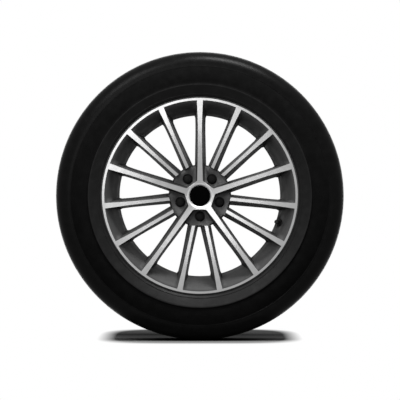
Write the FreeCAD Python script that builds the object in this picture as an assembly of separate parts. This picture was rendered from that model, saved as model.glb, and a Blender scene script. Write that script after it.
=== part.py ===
import FreeCAD, Part
import math
import os
from FreeCAD import Vector

# A van tyre on its cast alloy wheel. Millimetres. The wheel spins about Y, its street side looks
# along -Y and Z is up. Angles are seen from the street side, anticlockwise from +X.
SPIN_AXIS = Vector(0, 1, 0)
STREET = Vector(0, -1, 0)
ORIGIN = Vector(0, 0, 0)
# How far a quarter circle of radius 1 stands out from its chord.
QUARTER_RISE = 1 - math.sqrt(0.5)

# Rim contour
SEAT_R = 218.3
SEAT_LENGTH = 20.0
SEAT_TAPER = 5.0
RIM_WIDTH = 177.8
FLANGE_HEIGHT = 17.5
FLANGE_ROLL = 9.2
ROLL_CHORDS = 2
HEEL_CUT = 4.0
LIP_DEPTH = 12.9
LIP_WIDTH = 8.8
LIP_EDGE = 3.4
LIP_FALL = 1.1
HUMP_LENGTH = 5.5
WELL_DEPTH = 19.8
WELL_WALL = 5.5
WELL_FRONT_Y = -38.0
WELL_REAR_Y = 2.0
BARREL_WALL = 7.0
SLOPE_DROP = 4.3
SLOPE_SETBACK = 2.1
SLOPE_END_Y = -50.0

# Hub and spokes
OFFSET = 48.0
HUB_BORE_R = 29.05
HUB_BORE_DEPTH = 14.0
HUB_INNER_R = 26.5
HUB_INNER_DEPTH = 25.0
BORE_CHAMFER = 1.5
PAD_R = 72.0
PAD_THICKNESS = 19.0
HUB_RING_R = 34.0
HUB_RING_Y = -92.6
CONE_R = 30.5
CONE_DROP = 4.0
CROWN_R = 130.0
CROWN_Y = -104.5
SPOKE_COUNT = 15
FIRST_SPOKE = 90.0
MAIN_EVERY = 3
MAIN_HALF = 4.9
SIDE_HALF = 4.4
SIDE_TAPER = 1.9
FLARE = 2.1
FLARE_START_R = 170.0
DRAFT_LEFT = 5.8
DRAFT_RIGHT = 8.4
WINDOW_FRONT_X = 60.0
WINDOW_BACK_X = 77.5
SPOKE_BACK_Y = -58.0
SPOKE_BACK_R = 150.0
ROOT_R = 186.0
POCKET_APOTHEM = 32.2
POCKET_X = 71.0
POCKET_DRAFT = 1.5
POCKET_CORNER = 4.0
GROOVE_WIDTH = 7.0
GROOVE_INNER_R = 90.0
GROOVE_OUTER_R = 176.0
GROOVE_DEPTH = 15.0
RELIEF_INNER_R = 37.0
RELIEF_OUTER_R = 66.0
RELIEF_ANGLE = 30.0
RELIEF_DEPTH = 12.0

# Wheel bolts
BOLT_COUNT = 5
FIRST_BOLT = 54.0
BOLT_CIRCLE = 98.0
BOLT_R = 6.0
BOLT_HOLE_R = 7.25
BOLT_SEAT_R = 10.5
BOLT_SEAT_HALF_ANGLE = 30.0
BOLT_COLLAR = 2.0
BOLT_HEAD = 12.0
BOLT_FLATS = 17.0
BOLT_REACH = 24.0
BOLT_TIP_CHAMFER = 1.5
RECESS_R = 12.4
RECESS_DEPTH = 4.0

# Centre cap
CAP_R = 24.3
CAP_EDGE = 3.0
CAP_RISE = 1.2
CAP_BEVEL = 3.0
CAP_HOLE_R = 22.2
LEG_WALL = 2.0
LEG_COUNT = 5
LEG_SLOT = 12.0
LEG_HOOK = 0.9
LEG_HOOK_LENGTH = 4.0
RING_BAND = 1.2
RING_HEIGHT = 1.8
RING_GAP_ANGLE = 24.0

# Tyre
TYRE_R = 344.9
SECTION_WIDTH = 226.0
BAND_RISE = 3.2
BAND_STEP = 2.7
RIB_RISE = 27.7
RIB_CREST = 2.8
RIB_STEP = 2.4
SIDEWALL_BULGE = 2.5
SHOULDER_DROP = 37.9
SHOULDER_INSET = 11.0
SHOULDER_BULGE = 6.4
TREAD_HALF = 79.0
TREAD_DROP = 4.2
GROOVE_CENTRES = (50.0, 17.5)
GROOVE_HALF = 4.4
TREAD_GROOVE_DEPTH = 8.0
TREAD_GROOVE_DRAFT = 1.0
TREAD_THICKNESS = 16.0
BEAD_RISE = 4.2
BEAD_THICKNESS = 4.9
LINER_BULGE = 11.8
LINER_TURN_DROP = 5.0
WALL_THICKNESS = 9.0
LINER_BEND = 5.4
LINER_INSET = 17.0
SIDEWALL_CHORDS = 3
SHOULDER_CHORDS = 5
LINER_CHORDS = 2

# Tyre valve, with lengths along its stem from the seat in the rim
VALVE_ANGLE = -18.8
VALVE_TILT = 52.0
VALVE_SHARE = 0.4
VALVE_SEAT_DEPTH = 4.0
VALVE_WALL = 5.0
VALVE_HOLE_R = 5.75
VALVE_SPOT_R = 10.2
VALVE_RECESS_R = 10.0
VALVE_HEAD_R = 9.4
VALVE_HEAD = 5.0
VALVE_HEAD_BEVEL = 2.5
VALVE_BULGE_R = 7.4
VALVE_BULGE = 2.0
VALVE_TOP_R = 4.5
VALVE_RUBBER_END = 12.5
STEM_R = 2.9
STEM_THREAD_R = 3.85
STEM_END = 23.5
STEM_BORE_R = 2.0
STEM_LOW_BORE_R = 0.9
STEM_LEDGE = 0.5
CORE_START = 11.5
CORE_END = 22.0
CORE_HOLE_R = 0.9
PIN_R = 0.6
PIN_START = 4.5
PIN_TIP = 0.8
PIN_COLLAR_R = 1.4
PIN_COLLAR = 1.4
CORE_SEAL = 0.8
CORE_SEAL_R = 1.6
SPRING_WIRE = 0.4
SPRING_MEAN_R = 1.15
SPRING_TURNS = 4.0
VALVE_CAP_R = 5.2
VALVE_CAP_TOP = 1.6
VALVE_CAP_SEAL = 0.8

# Balance weights on the inside of the barrel
WEIGHT_COUNT = 6
FIRST_WEIGHT = 205.0
WEIGHT_LENGTH = 18.4
WEIGHT_SPACING = 1.4
WEIGHT_Y = 32.0
WEIGHT_WIDTH = 17.0
WEIGHT_HEIGHT = 3.4
TAPE_HEIGHT = 0.8
TAPE_MARGIN = 0.6

# Clearances
BEAD_GAP = 0.25
FIT_GAP = 0.3
SEAT_GAP = 0.1
SLIDE_GAP = 0.15
CUT_PAST = 12.0

FLANGE_Y = RIM_WIDTH / 2
FLANGE_R = SEAT_R + FLANGE_HEIGHT
ROLL_R = FLANGE_R - FLANGE_ROLL
ROLL_Y = FLANGE_Y + FLANGE_ROLL
LIP_Y = FLANGE_Y + LIP_DEPTH
LIP_INNER_R = FLANGE_R - LIP_WIDTH
SEAT_INNER_Y = FLANGE_Y - SEAT_LENGTH
HUMP_R = SEAT_R - SEAT_LENGTH * math.tan(math.radians(SEAT_TAPER))
HUMP_Y = SEAT_INNER_Y - HUMP_LENGTH
BARREL_R = HUMP_R - BARREL_WALL
SLOPE_R = SEAT_R - SLOPE_DROP
SLOPE_Y = -FLANGE_Y - SLOPE_SETBACK
WELL_R = SEAT_R - WELL_DEPTH
WELL_INNER_R = WELL_R - WELL_WALL
PAD_Y = -OFFSET
POCKET_FLOOR_Y = PAD_Y - PAD_THICKNESS
BOLT_SEAT_Y = POCKET_FLOOR_Y + RECESS_DEPTH
CAP_EDGE_Y = HUB_RING_Y + CONE_DROP
CAP_SEAT_Y = CAP_EDGE_Y + CAP_EDGE
SPIGOT_END_Y = PAD_Y - HUB_BORE_DEPTH
BORE_END_Y = PAD_Y - HUB_INNER_DEPTH
LEG_R = CAP_HOLE_R - FIT_GAP
SPOKE_STEP = 360.0 / SPOKE_COUNT
BOLT_STEP = 360.0 / BOLT_COUNT
RIB_R = FLANGE_R + RIB_RISE
SHOULDER_R = TYRE_R - SHOULDER_DROP
SHOULDER_Y = SECTION_WIDTH / 2 - SHOULDER_INSET


def axial(radius, y):
    """Point in the half plane that holds the spin axis and +X."""
    return Vector(radius, y, 0)


def outline(points):
    """Closed wire through points; a pair is an arc past its first point to its second."""
    edges = []
    here = points[0]
    for step in points[1:]:
        if isinstance(step, tuple):
            via, end = step
            edges.append(Part.Arc(here, via, end).toShape())
        else:
            end = step
            edges.append(Part.makeLine(here, end))
        here = end
    if here.distanceToPoint(points[0]) > 1e-6:
        edges.append(Part.makeLine(here, points[0]))
    return Part.Wire(edges)


def bulged(start, end, bulge, chords):
    """Points in even steps along the arc that bulges to the left of start to end, without its start."""
    along = end - start
    across = Vector(-along.y, along.x, 0).normalize()
    via = (start + end) * 0.5 + across * bulge
    return Part.Arc(start, via, end).toShape().discretize(chords + 1)[1:]


def on_side(points, side):
    """Points of one half of a section, mirrored to the street where side is -1."""
    return [axial(point.x, side * point.y) for point in points]


def revolved(points, angle=360.0):
    """Solid made by turning a closed outline about the spin axis."""
    return Part.Face(outline(points)).revolve(ORIGIN, SPIN_AXIS, angle)


def turned(shape, angle):
    """Copy of a shape turned about the axle, anticlockwise as seen from the street."""
    copy = shape.copy()
    copy.rotate(ORIGIN, STREET, angle)
    return copy


def sector(points, middle, angle):
    """Part of a turned ring, centred on an angle."""
    return turned(revolved(points, angle), middle + angle / 2)


def bar(radius, start_y, end_y, x=0.0):
    """Round bar along the axle direction."""
    return Part.makeCylinder(radius, end_y - start_y, Vector(x, start_y, 0), SPIN_AXIS)


def seat_radius(y):
    """Radius of the tapered bead seat at a distance y from the rim's middle."""
    return SEAT_R - (FLANGE_Y - y) * math.tan(math.radians(SEAT_TAPER))


def slope_radius(y):
    """Radius of the slope seen between the spokes, behind the lip."""
    share = (y - SLOPE_Y) / (SLOPE_END_Y - SLOPE_Y)
    return SLOPE_R + (WELL_INNER_R - SLOPE_R) * share


def barrel_radius(y):
    """Inside radius of the barrel behind the well."""
    share = (y - WELL_REAR_Y) / (HUMP_Y - WELL_REAR_Y)
    return WELL_INNER_R + (BARREL_R - WELL_INNER_R) * share


def rim_edge(side):
    """Tyre side of one rim edge, from the hump out to the lip; side is -1 on the street."""
    roll_start = axial(ROLL_R, FLANGE_Y)
    roll_end = axial(FLANGE_R, ROLL_Y)
    return on_side([
        axial(HUMP_R, HUMP_Y),
        axial(HUMP_R, SEAT_INNER_Y),
        axial(seat_radius(FLANGE_Y - HEEL_CUT), FLANGE_Y - HEEL_CUT),
        axial(SEAT_R + HEEL_CUT, FLANGE_Y),
        roll_start,
        *bulged(roll_start, roll_end, -FLANGE_ROLL * QUARTER_RISE, ROLL_CHORDS),
        axial(FLANGE_R - LIP_EDGE, LIP_Y - LIP_FALL),
    ], side)


def wheel_blank():
    """Barrel, disc and hub as one turned form, before the windows are cut."""
    lip = axial(LIP_INNER_R, -LIP_Y)
    contour = [lip] + rim_edge(-1)[::-1]
    contour += [axial(WELL_R, WELL_FRONT_Y), axial(WELL_R, WELL_REAR_Y)] + rim_edge(1)
    contour += [
        axial(LIP_INNER_R, LIP_Y),
        axial(SLOPE_R, -SLOPE_Y),
        axial(BARREL_R, HUMP_Y),
        axial(WELL_INNER_R, WELL_REAR_Y),
        axial(WELL_INNER_R, SLOPE_END_Y + WELL_WALL),
        axial(ROOT_R, SPOKE_BACK_Y),
        axial(SPOKE_BACK_R, SPOKE_BACK_Y),
        axial(PAD_R, PAD_Y),
        axial(HUB_BORE_R + BORE_CHAMFER, PAD_Y),
        axial(HUB_BORE_R, PAD_Y - BORE_CHAMFER),
        axial(HUB_BORE_R, SPIGOT_END_Y),
        axial(HUB_INNER_R, SPIGOT_END_Y),
        axial(HUB_INNER_R, BORE_END_Y),
        axial(CAP_HOLE_R, BORE_END_Y),
        axial(CAP_HOLE_R, CAP_SEAT_Y),
        axial(CAP_R + FIT_GAP, CAP_SEAT_Y),
        axial(CAP_R + FIT_GAP, CAP_EDGE_Y),
        axial(CONE_R, HUB_RING_Y),
        axial(HUB_RING_R, HUB_RING_Y),
        (axial(CROWN_R, CROWN_Y), lip),
    ]
    return revolved(contour)


def flank_half(half, draft, y):
    """Half width of a spoke on one side at a depth y, growing from its face to its back."""
    return half + draft * (y - CROWN_Y) / (SPOKE_BACK_Y - CROWN_Y)


def beside(angle, along, offset, y):
    """Point at a distance along a spoke's middle line and an offset to its left."""
    turn = math.radians(angle)
    x = along * math.cos(turn) - offset * math.sin(turn)
    z = along * math.sin(turn) + offset * math.cos(turn)
    return Vector(x, y, z)


def crossing(angle, offset, x, y):
    """Point where a spoke's side line crosses a line square to +X."""
    turn = math.radians(angle)
    return beside(angle, (x + offset * math.sin(turn)) / math.cos(turn), offset, y)


def window_wire(index, y, inner_x, taper):
    """Outline of the window after a spoke at a depth y; its two spokes lie half a step to each side of +X.

    The taper is how much narrower than at the rim a side spoke is at the hub, on each side.
    """
    low = -SPOKE_STEP / 2
    high = SPOKE_STEP / 2
    right_main = index % MAIN_EVERY == 0
    left_main = (index + 1) % MAIN_EVERY == 0
    right = flank_half(MAIN_HALF if right_main else SIDE_HALF, DRAFT_LEFT, y)
    left = flank_half(MAIN_HALF if left_main else SIDE_HALF, DRAFT_RIGHT, y)
    right_at_hub = right if right_main else right - taper
    left_at_hub = left if left_main else left - taper
    return outline([
        crossing(low, right_at_hub, inner_x, y),
        beside(low, FLARE_START_R, right, y),
        beside(low, FLANGE_R, right + FLARE, y),
        beside(high, FLANGE_R, -left - FLARE, y),
        beside(high, FLARE_START_R, -left, y),
        crossing(high, -left_at_hub, inner_x, y),
    ])


def windows():
    """The openings between the spokes, drafted towards the back and ending on the rim's slope."""
    front_y = -LIP_Y - CUT_PAST
    back_y = PAD_Y + CUT_PAST
    space = revolved([
        axial(0, front_y),
        axial(LIP_INNER_R, front_y),
        axial(LIP_INNER_R, -LIP_Y),
        axial(SLOPE_R, SLOPE_Y),
        axial(slope_radius(back_y), back_y),
        axial(0, back_y),
    ])
    cutters = []
    for index in range(SPOKE_COUNT):
        front = window_wire(index, front_y, WINDOW_FRONT_X, SIDE_TAPER)
        back = window_wire(index, back_y, WINDOW_BACK_X, 0.0)
        wedge = Part.makeLoft([front, back], True, True)
        cutters.append(turned(wedge, FIRST_SPOKE + (index + 0.5) * SPOKE_STEP).common(space))
    return cutters


def pocket_wire(y, apothem):
    """Outline of a bolt pocket at a depth y, between two main spokes and the hub ring."""
    low = -BOLT_STEP / 2
    high = BOLT_STEP / 2
    right = flank_half(MAIN_HALF, DRAFT_LEFT, y)
    left = flank_half(MAIN_HALF, DRAFT_RIGHT, y)
    return outline([
        crossing(low, right, apothem, y),
        crossing(low, right, POCKET_X, y),
        crossing(high, -left, POCKET_X, y),
        crossing(high, -left, apothem, y),
    ])


def bolt_pocket():
    """Pocket with its bolt recess, cone seat and hole, standing at +X."""
    front = pocket_wire(-LIP_Y - CUT_PAST, POCKET_APOTHEM)
    floor = pocket_wire(POCKET_FLOOR_Y, POCKET_APOTHEM + POCKET_DRAFT)
    pocket = Part.makeLoft([front, floor], True, True)
    corners = []
    for edge in pocket.Edges:
        low_y, high_y = sorted(vertex.Y for vertex in edge.Vertexes)
        if high_y - low_y > CUT_PAST and edge.CenterOfMass.x < BOLT_CIRCLE / 2:
            corners.append(edge)
    pocket = pocket.makeFillet(POCKET_CORNER, corners)
    pitch_r = BOLT_CIRCLE / 2
    recess = bar(RECESS_R, POCKET_FLOOR_Y - CUT_PAST, BOLT_SEAT_Y, pitch_r)
    seat_depth = (BOLT_SEAT_R - BOLT_HOLE_R) / math.tan(math.radians(BOLT_SEAT_HALF_ANGLE))
    seat = Part.makeCone(BOLT_SEAT_R, BOLT_HOLE_R, seat_depth, Vector(pitch_r, BOLT_SEAT_Y, 0), SPIN_AXIS)
    hole = bar(BOLT_HOLE_R, BOLT_SEAT_Y + seat_depth, PAD_Y + CUT_PAST, pitch_r)
    return pocket.fuse([recess, seat, hole])


def spoke_groove():
    """Hollow in the back of the spoke at +X, which keeps its walls even."""
    shift = (DRAFT_LEFT - DRAFT_RIGHT) / 2
    floor_y = SPOKE_BACK_Y - GROOVE_DEPTH
    half = GROOVE_WIDTH / 2
    slot = outline([
        Vector(GROOVE_INNER_R, floor_y, shift - half),
        Vector(GROOVE_OUTER_R, floor_y, shift - half),
        (Vector(GROOVE_OUTER_R + half, floor_y, shift), Vector(GROOVE_OUTER_R, floor_y, shift + half)),
        Vector(GROOVE_INNER_R, floor_y, shift + half),
        (Vector(GROOVE_INNER_R - half, floor_y, shift), Vector(GROOVE_INNER_R, floor_y, shift - half)),
    ])
    return Part.Face(slot).extrude(Vector(0, GROOVE_DEPTH + CUT_PAST, 0))


def pad_relief(angle):
    """Shallow hollow in the mounting face, between two bolt holes."""
    return sector([
        axial(RELIEF_INNER_R, PAD_Y - RELIEF_DEPTH),
        axial(RELIEF_OUTER_R, PAD_Y - RELIEF_DEPTH),
        axial(RELIEF_OUTER_R, PAD_Y + CUT_PAST),
        axial(RELIEF_INNER_R, PAD_Y + CUT_PAST),
    ], angle, RELIEF_ANGLE)


def valve_placed(shape):
    """Move a shape made on the Y axis, with its seat at the origin, to the valve hole."""
    tilt = math.radians(VALVE_TILT)
    out = Vector(-math.cos(tilt), -math.sin(tilt), 0)
    hump = axial(HUMP_R, -HUMP_Y)
    seat = hump + (axial(WELL_R, WELL_FRONT_Y) - hump) * VALVE_SHARE + out * VALVE_SEAT_DEPTH
    copy = shape.copy()
    copy.Placement = FreeCAD.Placement(seat, FreeCAD.Rotation(SPIN_AXIS, out))
    return turned(copy, VALVE_ANGLE)


def valve_cuts():
    """Spot face, hole and street side recess for the valve."""
    spot = bar(VALVE_SPOT_R, -CUT_PAST, 0)
    hole = bar(VALVE_HOLE_R, -CUT_PAST, VALVE_WALL + CUT_PAST)
    recess = bar(VALVE_RECESS_R, VALVE_WALL, VALVE_WALL + 2 * CUT_PAST)
    return valve_placed(spot.fuse([hole, recess]))


def alloy_wheel():
    """The casting with its windows, bolt pockets, back hollows and valve hole."""
    cutters = windows()
    for index in range(BOLT_COUNT):
        cutters.append(turned(bolt_pocket(), FIRST_BOLT + index * BOLT_STEP))
        cutters.append(pad_relief(FIRST_BOLT + (index + 0.5) * BOLT_STEP))
    for index in range(SPOKE_COUNT):
        cutters.append(turned(spoke_groove(), FIRST_SPOKE + index * SPOKE_STEP))
    cutters.append(valve_cuts())
    return wheel_blank().cut(cutters)


def wheel_bolts():
    """Cone seat bolts in their recesses, threads standing out past the mounting face."""
    taper = math.tan(math.radians(BOLT_SEAT_HALF_ANGLE))
    seat_y = BOLT_SEAT_Y - SEAT_GAP
    collar_y = seat_y - BOLT_COLLAR
    tip_y = PAD_Y + BOLT_REACH
    body = revolved([
        axial(0, tip_y),
        axial(BOLT_R - BOLT_TIP_CHAMFER, tip_y),
        axial(BOLT_R, tip_y - BOLT_TIP_CHAMFER),
        axial(BOLT_R, seat_y + (BOLT_SEAT_R - BOLT_R) / taper),
        axial(BOLT_SEAT_R, seat_y),
        axial(BOLT_SEAT_R, collar_y),
        axial(0, collar_y),
    ])
    corner_r = BOLT_FLATS / 2 / math.cos(math.pi / 6)
    corners = []
    for index in range(6):
        turn = math.radians(60 * index)
        corners.append(Vector(corner_r * math.cos(turn), collar_y, corner_r * math.sin(turn)))
    head = Part.Face(outline(corners)).extrude(STREET * BOLT_HEAD)
    bolt = body.fuse(head)
    bolt.translate(Vector(BOLT_CIRCLE / 2, 0, 0))
    bolts = []
    for index in range(BOLT_COUNT):
        bolts.append(turned(bolt, FIRST_BOLT + index * BOLT_STEP))
    return Part.makeCompound(bolts)


def centre_cap():
    """Black cap with a bevelled face and hooked legs that snap behind the hub's front wall."""
    inner_r = LEG_R - LEG_WALL
    hook_y = BORE_END_Y + SEAT_GAP
    face_y = CAP_EDGE_Y - CAP_RISE
    cap = revolved([
        axial(0, face_y),
        axial(CAP_R - CAP_BEVEL, face_y),
        axial(CAP_R, CAP_EDGE_Y),
        axial(CAP_R, CAP_SEAT_Y - SEAT_GAP),
        axial(LEG_R, CAP_SEAT_Y - SEAT_GAP),
        axial(LEG_R, hook_y),
        axial(LEG_R + LEG_HOOK, hook_y),
        axial(LEG_R, hook_y + LEG_HOOK_LENGTH),
        axial(inner_r, hook_y + LEG_HOOK_LENGTH),
        axial(inner_r, CAP_SEAT_Y),
        axial(0, CAP_SEAT_Y),
    ])
    slots = []
    for index in range(LEG_COUNT):
        size = Vector(CAP_R + LEG_HOOK, hook_y + LEG_HOOK_LENGTH + CUT_PAST - CAP_SEAT_Y, LEG_SLOT)
        corner = Vector(0, CAP_SEAT_Y, -LEG_SLOT / 2)
        slots.append(turned(Part.makeBox(size.x, size.y, size.z, corner), index * 360.0 / LEG_COUNT))
    return cap.cut(slots)


def centre_cap_spring_ring():
    """Open steel band inside the cap's legs, which presses them outwards."""
    outer_r = LEG_R - LEG_WALL - SEAT_GAP
    start_y = BORE_END_Y - RING_HEIGHT
    return sector([
        axial(outer_r - RING_BAND, start_y),
        axial(outer_r, start_y),
        axial(outer_r, start_y + RING_HEIGHT),
        axial(outer_r - RING_BAND, start_y + RING_HEIGHT),
    ], 90.0, 360.0 - RING_GAP_ANGLE)


def crown_radius(y):
    """Outside radius of the tread at a distance y from its middle."""
    return TYRE_R - TREAD_DROP * (y / TREAD_HALF) ** 2


def tyre_side(side):
    """Outside of half the tyre, from the bead toe up to the middle rib; side is -1 on the street."""
    half_width = SECTION_WIDTH / 2
    heel_y = FLANGE_Y - HEEL_CUT
    rib_end_r = RIB_R + RIB_CREST
    roll_start = axial(ROLL_R, FLANGE_Y - BEAD_GAP)
    roll_end = axial(FLANGE_R + BEAD_GAP, ROLL_Y)
    roll_bulge = -(FLANGE_ROLL + BEAD_GAP) * QUARTER_RISE
    wall_start = axial(rib_end_r + RIB_STEP, half_width - RIB_STEP)
    shoulder = axial(SHOULDER_R, SHOULDER_Y)
    tread_start = axial(crown_radius(TREAD_HALF), TREAD_HALF)
    points = [
        axial(seat_radius(SEAT_INNER_Y) + BEAD_GAP, SEAT_INNER_Y),
        axial(seat_radius(heel_y) + BEAD_GAP, heel_y - BEAD_GAP),
        axial(SEAT_R + HEEL_CUT + BEAD_GAP, FLANGE_Y - BEAD_GAP),
        roll_start,
        *bulged(roll_start, roll_end, roll_bulge, ROLL_CHORDS),
        axial(FLANGE_R + BAND_RISE, ROLL_Y + BAND_STEP),
        axial(RIB_R, half_width),
        axial(rib_end_r, half_width),
        wall_start,
        *bulged(wall_start, shoulder, SIDEWALL_BULGE, SIDEWALL_CHORDS),
        *bulged(shoulder, tread_start, SHOULDER_BULGE, SHOULDER_CHORDS),
    ]
    for centre in GROOVE_CENTRES:
        floor_r = crown_radius(centre) - TREAD_GROOVE_DEPTH
        points += [
            axial(crown_radius(centre + GROOVE_HALF), centre + GROOVE_HALF),
            axial(floor_r, centre + GROOVE_HALF - TREAD_GROOVE_DRAFT),
            axial(floor_r, centre - GROOVE_HALF + TREAD_GROOVE_DRAFT),
            axial(crown_radius(centre - GROOVE_HALF), centre - GROOVE_HALF),
        ]
    return on_side(points, side)


def liner_side(side):
    """Inside of half the tyre, from the bead up to under the tread."""
    start = axial(FLANGE_R + BEAD_RISE, FLANGE_Y - BEAD_THICKNESS)
    turn = axial(SHOULDER_R - LINER_TURN_DROP, SHOULDER_Y - WALL_THICKNESS)
    top = axial(TYRE_R - TREAD_THICKNESS, TREAD_HALF - LINER_INSET)
    return on_side([
        start,
        *bulged(start, turn, LINER_BULGE, LINER_CHORDS),
        *bulged(turn, top, LINER_BEND, LINER_CHORDS),
    ], side)


def tyre():
    """The whole tyre, hollow, with its beads on the rim seats and grooves round the tread."""
    outside = tyre_side(-1) + tyre_side(1)[::-1]
    inside = liner_side(1) + liner_side(-1)[::-1]
    return revolved(outside + inside)


def valve_rubber_body():
    """Snap-in rubber body: head inside the rim, neck in the hole, tapering stem outside."""
    wall_end = VALVE_WALL + SEAT_GAP
    return valve_placed(revolved([
        axial(STEM_R, -VALVE_HEAD),
        axial(VALVE_HEAD_R - VALVE_HEAD_BEVEL, -VALVE_HEAD),
        axial(VALVE_HEAD_R, -VALVE_HEAD_BEVEL),
        axial(VALVE_HEAD_R, -SEAT_GAP),
        axial(VALVE_HOLE_R - SEAT_GAP, -SEAT_GAP),
        axial(VALVE_HOLE_R - SEAT_GAP, wall_end),
        axial(VALVE_BULGE_R, wall_end),
        axial(VALVE_BULGE_R, wall_end + VALVE_BULGE),
        axial(VALVE_TOP_R, VALVE_RUBBER_END),
        axial(STEM_R, VALVE_RUBBER_END),
    ]))


def valve_stem_tube():
    """Brass tube bonded in the rubber, wider where its outside is threaded."""
    return valve_placed(revolved([
        axial(STEM_LOW_BORE_R, -VALVE_HEAD),
        axial(STEM_R, -VALVE_HEAD),
        axial(STEM_R, VALVE_RUBBER_END),
        axial(STEM_THREAD_R, VALVE_RUBBER_END),
        axial(STEM_THREAD_R, STEM_END),
        axial(STEM_BORE_R, STEM_END),
        axial(STEM_BORE_R, STEM_LEDGE),
        axial(STEM_LOW_BORE_R, STEM_LEDGE),
    ]))


def valve_core_body():
    """Brass plug screwed into the stem, with a hole for the pin."""
    return valve_placed(revolved([
        axial(CORE_HOLE_R, CORE_START),
        axial(STEM_BORE_R - SEAT_GAP, CORE_START),
        axial(STEM_BORE_R - SEAT_GAP, CORE_END),
        axial(CORE_HOLE_R, CORE_END),
    ]))


def valve_core_pin():
    """Pin through the core, with the collar that carries the seal and takes the spring."""
    collar_end = CORE_START - SLIDE_GAP - CORE_SEAL
    return valve_placed(revolved([
        axial(0, PIN_START),
        axial(PIN_R, PIN_START),
        axial(PIN_R, collar_end - PIN_COLLAR),
        axial(PIN_COLLAR_R, collar_end - PIN_COLLAR),
        axial(PIN_COLLAR_R, collar_end),
        axial(PIN_R, collar_end),
        axial(PIN_R, CORE_END + PIN_TIP),
        axial(0, CORE_END + PIN_TIP),
    ]))


def valve_core_seal():
    """Rubber washer on the pin's collar, which closes against the core."""
    seal_end = CORE_START - SLIDE_GAP
    return valve_placed(revolved([
        axial(PIN_R, seal_end - CORE_SEAL),
        axial(CORE_SEAL_R, seal_end - CORE_SEAL),
        axial(CORE_SEAL_R, seal_end),
        axial(PIN_R, seal_end),
    ]))


def valve_core_spring():
    """Coil spring between the ledge in the stem and the pin's collar."""
    start = STEM_LEDGE + SPRING_WIRE / 2 + SEAT_GAP
    end = CORE_START - SLIDE_GAP - CORE_SEAL - PIN_COLLAR - SPRING_WIRE / 2 - SEAT_GAP
    height = end - start
    helix = Part.makeHelix(height / SPRING_TURNS, height, SPRING_MEAN_R)
    half = SPRING_WIRE / 2
    section = outline([
        Vector(SPRING_MEAN_R - half, 0, -half),
        Vector(SPRING_MEAN_R + half, 0, -half),
        Vector(SPRING_MEAN_R + half, 0, half),
        Vector(SPRING_MEAN_R - half, 0, half),
    ])
    spring = Part.Wire(helix.Edges).makePipeShell([section], True, True)
    spring.rotate(ORIGIN, Vector(1, 0, 0), -90)
    spring.translate(Vector(0, start, 0))
    return valve_placed(Part.makeCompound([spring]))


def valve_cap():
    """Plastic cap over the threaded end of the stem."""
    inner_r = STEM_THREAD_R + SLIDE_GAP
    roof = STEM_END + SEAT_GAP + VALVE_CAP_SEAL
    return valve_placed(revolved([
        axial(inner_r, VALVE_RUBBER_END + FIT_GAP),
        axial(VALVE_CAP_R, VALVE_RUBBER_END + FIT_GAP),
        axial(VALVE_CAP_R, roof),
        axial(VALVE_CAP_R - VALVE_CAP_TOP / 2, roof + VALVE_CAP_TOP),
        axial(0, roof + VALVE_CAP_TOP),
        axial(0, roof),
        axial(inner_r, roof),
    ]))


def valve_cap_seal():
    """Rubber disc in the roof of the valve cap."""
    start = STEM_END + SEAT_GAP
    return valve_placed(bar(STEM_THREAD_R, start, start + VALVE_CAP_SEAL))


def barrel_strip(start_y, end_y, low, high, middle, angle):
    """Curved strip lying on the inside of the barrel between two heights above it."""
    lean = math.atan2(barrel_radius(end_y) - barrel_radius(start_y), end_y - start_y)
    up = Vector(-math.cos(lean), math.sin(lean), 0)
    start = axial(barrel_radius(start_y), start_y)
    end = axial(barrel_radius(end_y), end_y)
    return sector([start + up * low, end + up * low, end + up * high, start + up * high], middle, angle)


def along_barrel(length):
    """Angle that a length takes up on the inside of the barrel, where the weights are."""
    return math.degrees(length / barrel_radius(WEIGHT_Y))


def balance_weight_tape():
    """Foam tape between the barrel and the weights."""
    half = WEIGHT_WIDTH / 2 + TAPE_MARGIN
    step = along_barrel(WEIGHT_LENGTH + WEIGHT_SPACING)
    middle = FIRST_WEIGHT + (WEIGHT_COUNT - 1) * step / 2
    return barrel_strip(WEIGHT_Y - half, WEIGHT_Y + half, SEAT_GAP, TAPE_HEIGHT, middle, WEIGHT_COUNT * step)


def balance_weights():
    """Row of small stick-on weights."""
    half = WEIGHT_WIDTH / 2
    low = TAPE_HEIGHT + SEAT_GAP
    high = low + WEIGHT_HEIGHT
    step = along_barrel(WEIGHT_LENGTH + WEIGHT_SPACING)
    angle = along_barrel(WEIGHT_LENGTH)
    weights = []
    for index in range(WEIGHT_COUNT):
        middle = FIRST_WEIGHT + index * step
        weights.append(barrel_strip(WEIGHT_Y - half, WEIGHT_Y + half, low, high, middle, angle))
    return Part.makeCompound(weights)


NODES = {
    "tyre": tyre,
    "alloy_wheel": alloy_wheel,
    "centre_cap": centre_cap,
    "centre_cap_spring_ring": centre_cap_spring_ring,
    "wheel_bolts": wheel_bolts,
    "valve_rubber_body": valve_rubber_body,
    "valve_stem_tube": valve_stem_tube,
    "valve_core_body": valve_core_body,
    "valve_core_pin": valve_core_pin,
    "valve_core_seal": valve_core_seal,
    "valve_core_spring": valve_core_spring,
    "valve_cap": valve_cap,
    "valve_cap_seal": valve_cap_seal,
    "balance_weight_tape": balance_weight_tape,
    "balance_weights": balance_weights,
}

os.makedirs("parts", exist_ok=True)
for name, build in NODES.items():
    build().exportStep("parts/" + name + ".step")
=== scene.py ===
import logging
import math
from dataclasses import dataclass, field
from enum import Enum

import bmesh
import bpy
from bmesh.types import BMEdge, BMesh, BMFace, BMVert
from bpy.types import Material, Node, NodeSocket, NodeTree, Object
from mathutils import Matrix, Vector


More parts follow.
